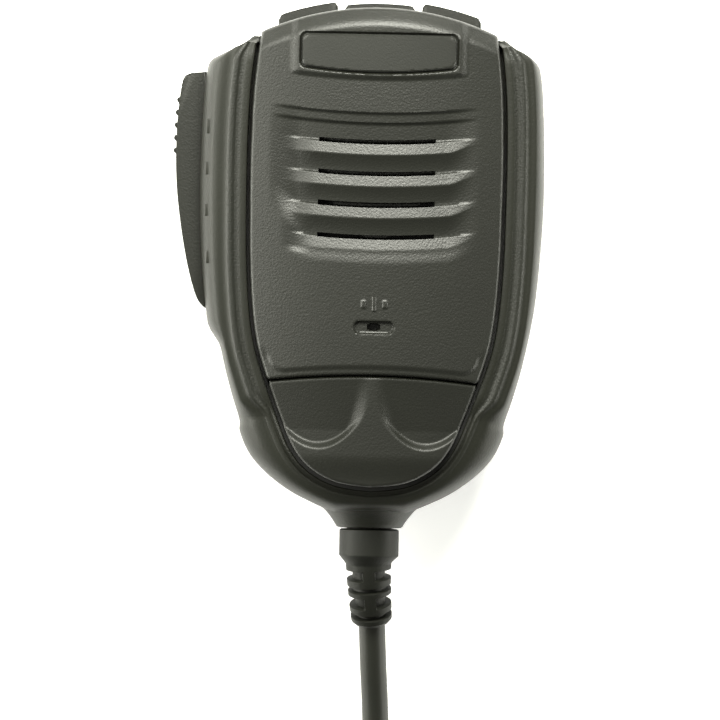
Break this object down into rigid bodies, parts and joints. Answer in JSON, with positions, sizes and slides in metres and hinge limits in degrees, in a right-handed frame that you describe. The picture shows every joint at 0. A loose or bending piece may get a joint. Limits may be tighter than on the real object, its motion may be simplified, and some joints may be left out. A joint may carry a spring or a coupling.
{
  "type": "hand microphone",
  "caption": "Black hand microphone with a speaker grille, side talk lever, keys on top, hang-up stud and a coiled plain cord with a round screw-lock plug.",
  "frame": {"origin": "centre of the hang-up stud's free face, on the back of the case", "axes": "+Y along the case towards the keys, +Z out of the speaker grille, the talk lever on the -X side"},
  "size_m": [0.1068, 0.2148, 0.0372],
  "materials": {
    "case_plastic": "fine grain",
    "panel_plastic": "fine grain",
    "plate_plastic": "satin",
    "key_plastic": "satin",
    "black_plastic": "satin",
    "white_plastic": "satin",
    "insert_plastic": "satin",
    "seal_rubber": "matt",
    "soft_rubber": "matt",
    "cord_jacket": "satin",
    "steel": "satin",
    "black_steel": "satin",
    "plated_metal": "satin",
    "aluminium": "satin",
    "ferrite": "matt",
    "gold": "polished",
    "board": "solder mask",
    "paper": "matt",
    "cloth": "matt",
    "tie_fabric": "matt"
  },
  "bodies": {
    "root": {"rear_case": "case_plastic", "front_case": "case_plastic", "front_panel": "panel_plastic", "chin_cover": "panel_plastic", "nameplate": "plate_plastic", "panel_seal": "seal_rubber", "lever_pin": "steel", "lever_spring": "steel", "lever_switch": "black_plastic", "key_board": "board", "key_switches": "black_plastic", "key_header": "gold", "main_board": "board", "board_parts": "black_plastic", "wire_header": "white_plastic", "speaker_frame": "steel", "speaker_cone": "paper", "speaker_magnet": "ferrite", "speaker_gasket": "seal_rubber", "grille_cloth": "cloth", "mic_capsule": "aluminium", "capsule_boot": "seal_rubber", "hang_stud": "steel", "stud_screw": "steel", "case_screws": "black_steel", "board_screws": "steel", "panel_screws": "steel", "chin_screws": "steel", "strain_relief": "soft_rubber", "cord_entry": "cord_jacket", "cable_clamp": "steel", "clamp_screws": "steel", "cord": "cord_jacket", "cord_coil": "cord_jacket", "cord_ties": "tie_fabric", "cord_end": "cord_jacket", "plug_boot": "soft_rubber", "plug_shell": "plated_metal", "plug_insert": "insert_plastic", "plug_contacts": "gold", "plug_clamp": "plated_metal", "plug_clamp_screws": "steel"},
    "ptt_lever": {"talk_lever": "case_plastic"},
    "ptt_plunger": {"switch_plunger": "white_plastic"},
    "key_left": {"left_key": "key_plastic"},
    "key_middle": {"middle_key": "key_plastic"},
    "key_right": {"right_key": "key_plastic"},
    "plug_ring": {"plug_nut": "plated_metal"}
  },
  "joints": [
    {"name": "ptt_press", "type": "hinge", "parent": "root", "child": "ptt_lever", "pos_m": [-0.0264, -0.005, 0.0155], "axis": [0, 0, -1], "range_deg": [0, 3.5], "stiffness_Nm_per_rad": 0.5},
    {"name": "ptt_plunger_slide", "type": "slide", "parent": "root", "child": "ptt_plunger", "axis": [1, 0, 0], "range_m": [0, 0.0015]},
    {"name": "key_left_press", "type": "slide", "parent": "root", "child": "key_left", "axis": [0, -1, 0], "range_m": [0, 0.0006], "stiffness_N_per_m": 400},
    {"name": "key_middle_press", "type": "slide", "parent": "root", "child": "key_middle", "axis": [0, -1, 0], "range_m": [0, 0.0006], "stiffness_N_per_m": 400},
    {"name": "key_right_press", "type": "slide", "parent": "root", "child": "key_right", "axis": [0, -1, 0], "range_m": [0, 0.0006], "stiffness_N_per_m": 400},
    {"name": "plug_nut_turn", "type": "hinge", "parent": "root", "child": "plug_ring", "pos_m": [0.0254, -0.156, 0.0094], "axis": [0, -1, 0], "continuous": true}
  ],
  "couplings": [
    {"joint": "ptt_plunger_slide", "follows": "ptt_press", "m_per_rad": 0.023}
  ]
}
